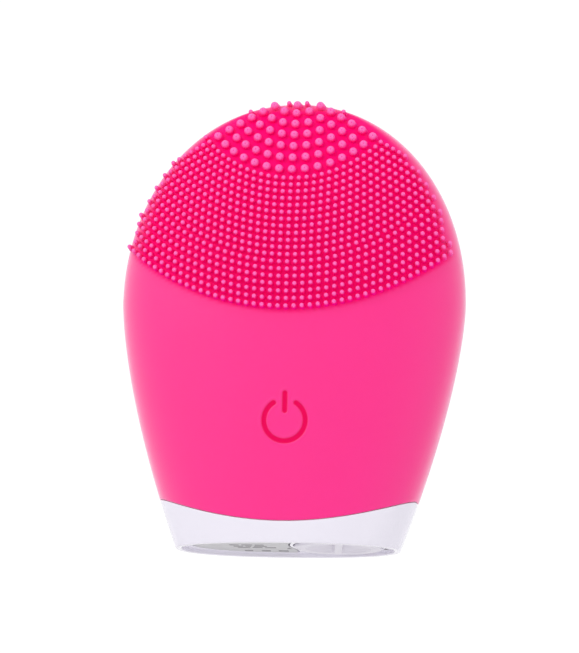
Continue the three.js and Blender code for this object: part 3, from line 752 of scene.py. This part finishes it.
def build_battery_cap():
    columns = 240
    piece = Builder()
    rings = []
    for radius in np.linspace(0.12, CAP_RADIUS - 0.5, 66):
        ring = round_ring(radius, 0, columns)
        ring[:, 2] = dish_level(ring[:, 0], ring[:, 1])
        rings.append(ring)
    for sine, drop in quarter(6):
        rings.append(round_ring(CAP_RADIUS - 0.4 * (1 - sine), CAP_FACE + 0.4 * drop, columns))
    rings.append(round_ring(CAP_RADIUS, CAP_TOP - 0.2, columns))
    rings.append(round_ring(CAP_RADIUS - 0.06, CAP_TOP - 0.06, columns))
    rings.append(round_ring(CAP_RADIUS - 0.2, CAP_TOP, columns))
    rings.append(round_ring(NECK_RADIUS + 0.2, CAP_TOP, columns))
    rings.append(round_ring(NECK_RADIUS, CAP_TOP + 0.2, columns))
    rings.append(round_ring(NECK_RADIUS, NECK_TOP - 0.3, columns))
    rings.append(round_ring(NECK_RADIUS - 0.3, NECK_TOP, columns))
    start = piece.grid(np.array(rings))
    piece.cone(start, columns, (CAP_X, 0, CAP_FACE), flip=True)
    piece.cone(piece.last_ring(columns) - 1, columns, (CAP_X, 0, NECK_TOP))
    for side in (-1, 1):
        low, high = LUG_LEVELS
        near, far = NECK_RADIUS - 0.8, LUG_REACH
        x0, x1 = sorted((CAP_X + side * near, CAP_X + side * far))
        bevel = 0.15
        rings = []
        for z, inset in ((low, bevel), (low + bevel, 0), (high - bevel, 0), (high, bevel)):
            a, b, h = x0 + inset, x1 - inset, LUG_HALF_WIDTH - inset
            rings.append([(a, -h, z), (b, -h, z), (b, h, z), (a, h, z)])
        start = piece.grid(np.array(rings))
        piece.faces.append((start + 3, start + 2, start + 1, start))
        piece.faces.append(tuple(range(start + 12, start + 16)))
    item = piece.finish("battery_cap_turned")
    item.data.set_sharp_from_angle(angle=math.radians(40))
    return item


# ---------------------------------------------------------------- materials

class Paint:
    """A procedural material under construction: a Principled shader plus the nodes that feed it."""

    def __init__(self, name):
        self.material = bpy.data.materials.new(name)
        self.material.use_nodes = True
        self.nodes = self.material.node_tree.nodes
        self.links = self.material.node_tree.links
        self.shader = self.nodes["Principled BSDF"]
        self.heights = []

    def base(self, colour=None, **values):
        if colour is not None:
            self.shader.inputs["Base Color"].default_value = (*colour, 1)
        names = {
            "roughness": "Roughness", "metallic": "Metallic", "ior": "IOR", "coat": "Coat Weight",
            "coat_roughness": "Coat Roughness", "sheen_roughness": "Sheen Roughness",
            "subsurface": "Subsurface Weight", "subsurface_scale": "Subsurface Scale",
            "specular": "Specular IOR Level",
        }
        for key, value in values.items():
            self.shader.inputs[names[key]].default_value = value

    def node(self, kind, **settings):
        item = self.nodes.new(kind)
        for key, value in settings.items():
            if key in item.inputs:
                item.inputs[key].default_value = value
            else:
                setattr(item, key, value)
        return item

    def place(self):
        return self.node("ShaderNodeTexCoord").outputs["Object"]

    def noise(self, scale, detail=3.0, roughness=0.5):
        item = self.node("ShaderNodeTexNoise", Scale=scale, Detail=detail, Roughness=roughness)
        self.links.new(self.place(), item.inputs["Vector"])
        return item.outputs["Fac"]

    def spread(self, value, low, high, from_low=0.3, from_high=0.7):
        """A value mapped to the range low to high."""
        item = self.node("ShaderNodeMapRange")
        self.links.new(value, item.inputs["Value"])
        limits = {"From Min": from_low, "From Max": from_high, "To Min": low, "To Max": high}
        for key, number in limits.items():
            item.inputs[key].default_value = number
        return item.outputs["Result"]

    def mix(self, value, first, second):
        """A colour between first and second by value."""
        item = self.node("ShaderNodeMix", data_type="RGBA")
        self.links.new(value, item.inputs["Factor"])
        for socket, colour in ((item.inputs[6], first), (item.inputs[7], second)):
            if isinstance(colour, tuple):
                socket.default_value = (*colour, 1)
            else:
                self.links.new(colour, socket)
        return item.outputs[2]

    def colour(self, socket):
        self.links.new(socket, self.shader.inputs["Base Color"])

    def rough(self, socket):
        self.links.new(socket, self.shader.inputs["Roughness"])

    def bump(self, value, distance, strength=1.0):
        item = self.node("ShaderNodeBump", Strength=strength, Distance=distance * MM)
        self.links.new(value, item.inputs["Height"])
        if self.heights:
            self.links.new(self.heights[-1], item.inputs["Normal"])
        self.heights.append(item.outputs["Normal"])
        self.links.new(item.outputs["Normal"], self.shader.inputs["Normal"])


def linear(red, green, blue):
    """Linear colour from display values out of 255."""
    def one(v):
        v /= 255
        return v / 12.92 if v <= 0.04045 else ((v + 0.055) / 1.055) ** 2.4
    return one(red), one(green), one(blue)


def attribute(paint, name):
    return paint.node("ShaderNodeAttribute", attribute_name=name).outputs["Fac"]


def silicone():
    """Soft-touch silicone with a fine matte grain: painted shade makes it deeper in colour among the bristles
    and in the symbol's groove.
    """
    paint = Paint("silicone_pink")
    paint.base(subsurface=0.2, subsurface_scale=0.6 * MM, sheen_roughness=0.5, ior=1.4)
    paint.shader.inputs["Subsurface Radius"].default_value = SCATTER
    plain = paint.mix(paint.noise(60), SILICONE, SILICONE_WARM)
    depth = attribute(paint, "depth")
    carved = attribute(paint, "carved")
    # Painted shade: the colour deepens among the bristles, by the depth attribute.
    grown = paint.mix(depth, plain, SILICONE_SHADED)
    # Painted shade in the symbol's groove.
    paint.colour(paint.mix(carved, grown, SYMBOL_SHADE_PINK))
    # Painted shade: specular and sheen are turned down where the bristles or the symbol's groove shade the
    # skin.
    shaded = paint.node("ShaderNodeMath", operation="MAXIMUM")
    paint.links.new(depth, shaded.inputs[0])
    paint.links.new(carved, shaded.inputs[1])
    share = shaded.outputs[0]
    paint.links.new(paint.spread(share, 0.5, 0.08, 0, 1), paint.shader.inputs["Specular IOR Level"])
    paint.links.new(paint.spread(share, 1.0, 0.03, 0, 1), paint.shader.inputs["Sheen Weight"])
    paint.shader.inputs["Sheen Tint"].default_value = (1, 0.9, 1, 1)
    paint.rough(paint.spread(paint.noise(900), 0.46, 0.56))
    paint.bump(paint.noise(4000, 2), 0.012)
    return paint.material


def bristle_silicone():
    """The same silicone moulded into bristles: painted light makes their frosted round tips paler than their
    sides, and painted shade deepens the sides inside the field.
    """
    paint = Paint("bristle_pink")
    paint.base(subsurface=0.3, subsurface_scale=0.4 * MM, sheen_roughness=0.5, specular=0.25, ior=1.4)
    paint.shader.inputs["Subsurface Radius"].default_value = SCATTER
    # Painted light: the tips' paler colour, with a little random tone.
    tint = paint.mix(paint.noise(500), BRISTLE_TIP_LIT, BRISTLE_TIP_LIT_WARM)
    ends = paint.spread(attribute(paint, "tip"), 0, 1, 0.35, 0.9)
    depth = attribute(paint, "depth")
    # Painted shade deepens the bristles' sides inside the field; at the field's edges their paler colour is a
    # painted sheen.
    sides = paint.mix(depth, BRISTLE_EDGE_SHEEN, BRISTLE_SIDE_SHADE)
    paint.colour(paint.mix(ends, sides, tint))
    paint.links.new(paint.spread(depth, 0.4, 0, 0, 1), paint.shader.inputs["Sheen Weight"])
    paint.shader.inputs["Sheen Tint"].default_value = (1, 0.7, 1, 1)
    paint.rough(paint.spread(paint.noise(1500), 0.42, 0.55))
    paint.bump(paint.noise(5000, 2), 0.008)
    return paint.material


def gloss_white():
    """Polished white ABS with the faintest waviness of a moulded wall."""
    paint = Paint("gloss_white")
    paint.base(ior=1.45, coat=0.1, coat_roughness=0.05)
    paint.colour(paint.mix(paint.noise(40), ABS_WHITE, ABS_WHITE_COOL))
    paint.rough(paint.spread(paint.noise(500), 0.14, 0.2))
    paint.bump(paint.noise(220, 2), 0.006)
    return paint.material


def label_film():
    """Grey satin film."""
    paint = Paint("label_grey")
    film = paint.mix(paint.noise(300), linear(188, 186, 189), linear(196, 194, 198))
    paint.colour(film)
    paint.rough(paint.spread(paint.noise(800), 0.35, 0.45))
    paint.bump(paint.noise(2500, 2), 0.004)
    return paint.material


def grained(name, low, high, roughness, grain, bump, colour_scale=120.0, **values):
    """A plain procedural finish: two near colours, a roughness range and a fine bump."""
    def build():
        paint = Paint(name)
        paint.base(**values)
        paint.colour(paint.mix(paint.noise(colour_scale), linear(*low), linear(*high)))
        paint.rough(paint.spread(paint.noise(grain * 0.6), *roughness))
        paint.bump(paint.noise(grain, 2), bump)
        return paint.material
    return build


FINISHES = {
    "silicone_pink": silicone,
    "bristle_pink": bristle_silicone,
    "gloss_white": gloss_white,
    "label_grey": label_film,
    "satin_white": grained(
        "satin_white", (219, 214, 225), (224, 219, 230), (0.34, 0.42), 900.0, 0.004, specular=0.4,
    ),
    "print_grey": grained("print_grey", (128, 124, 130), (142, 138, 144), (0.45, 0.6), 2400.0, 0.003),
    "inner_plastic": grained("inner_plastic", (226, 225, 222), (234, 233, 229), (0.42, 0.55), 1800.0, 0.01),
    "seal_rubber": grained("seal_rubber", (38, 38, 41), (52, 52, 55), (0.62, 0.78), 2600.0, 0.01),
    "steel": grained("steel", (190, 193, 198), (205, 207, 211), (0.22, 0.36), 1500.0, 0.006, metallic=1.0),
    "nickel": grained("nickel", (196, 191, 178), (212, 207, 194), (0.2, 0.32), 1400.0, 0.005, metallic=1.0),
    "circuit_board": grained("circuit_board", (22, 92, 52), (34, 118, 68), (0.28, 0.42), 900.0, 0.012, 700.0),
    "dark_plastic": grained("dark_plastic", (32, 33, 36), (42, 43, 46), (0.4, 0.55), 2200.0, 0.008),
    "cell_jacket": grained(
        "cell_jacket", (42, 104, 176), (54, 120, 192), (0.24, 0.34), 600.0, 0.004, metallic=0.4,
    ),
    "wire_red": grained("wire_red", (168, 26, 22), (190, 38, 32), (0.38, 0.5), 1600.0, 0.008),
    "wire_black": grained("wire_black", (22, 22, 24), (34, 34, 36), (0.38, 0.5), 1600.0, 0.008),
}

NODE_FINISH = {
    "front_inner_shell": "inner_plastic", "rear_inner_shell": "inner_plastic",
    "battery_tube": "inner_plastic",
    "motor_cradle": "inner_plastic", "button_plunger": "inner_plastic", "shell_gasket": "seal_rubber",
    "battery_cap_o_ring": "seal_rubber", "motor_damper": "seal_rubber", "battery_cap_contact": "nickel",
    "battery_spring": "nickel", "positive_contact": "nickel", "side_contact_strip": "nickel",
    "battery_cell": "cell_jacket", "control_board": "circuit_board", "controller_chip": "dark_plastic",
    "boost_inductor": "dark_plastic", "filter_capacitor": "dark_plastic", "tact_switch_body": "dark_plastic",
    "tact_switch_actuator": "inner_plastic", "motor_can": "steel", "motor_end_bell": "dark_plastic",
    "motor_shaft": "steel", "eccentric_weight": "steel", "motor_lead_red": "wire_red",
    "battery_lead_red": "wire_red", "motor_lead_black": "wire_black", "battery_lead_black": "wire_black",
    "shell_screw_1": "steel", "shell_screw_2": "steel", "shell_screw_3": "steel", "shell_screw_4": "steel",
    "board_screw_1": "steel", "board_screw_2": "steel", "base_screw_1": "steel", "base_screw_2": "steel",
}

SCATTER = (1.0, 0.3, 0.5)
SILICONE = linear(252, 15, 135)
SILICONE_WARM = linear(254, 20, 140)
# Painted shade among the bristles.
SILICONE_SHADED = linear(255, 0, 124)
# Painted shade in the symbol's groove.
SYMBOL_SHADE_PINK = linear(236, 0, 90)
# Painted shade on the bristles' sides inside the field, then painted sheen on those at its edges.
BRISTLE_SIDE_SHADE = linear(255, 0, 150)
BRISTLE_EDGE_SHEEN = linear(255, 70, 172)
# Painted light on the bristles' tips.
BRISTLE_TIP_LIT = linear(252, 110, 188)
BRISTLE_TIP_LIT_WARM = linear(255, 118, 194)
ABS_WHITE = linear(234, 230, 241)
ABS_WHITE_COOL = linear(238, 234, 245)


def dress(item, finish, body=None, replaced=(), material=None):
    """Gives a piece its material in a slot, hides the CAD nodes it stands for, and attaches it to the body it
    rides on.
    """
    item.data.materials.clear()
    item.data.materials.append(finishes[material or finish])
    if replaced:
        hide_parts(*replaced)
    if body:
        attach(item, body)


place_camera(AZIMUTH, ELEVATION, ROLL, DISTANCE, LENS, AIM, SHOWN_AT)
build_stage()
finishes = {name: build() for name, build in FINISHES.items()}

sleeve = build_sleeve()
dress(sleeve, "silicone_pink", replaced=("silicone_sleeve", "power_button_pad"))
symbol_point = np.array([0.0, float(front_depth(0.0, SYMBOL_Z)), SYMBOL_Z])
symbol_normal = form_normals(symbol_point)
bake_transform(sleeve)

fine, coarse = build_bristles()
dress(fine, "bristle_pink", "housing", ["fine_bristle_field"])
dress(coarse, "bristle_pink", "housing", ["coarse_bristle_field"])
dress(build_base(), "gloss_white", "housing", ["base_cap"])
dress(build_label(), "label_grey", "housing", ["base_label"])
dress(build_print(), "label_grey", "housing", material="print_grey")
dress(build_battery_cap(), "gloss_white", "battery_cap", ["battery_cap"], material="satin_white")

for node, finish in NODE_FINISH.items():
    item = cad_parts[node]
    item.data.materials.clear()
    item.data.materials.append(finishes[finish])
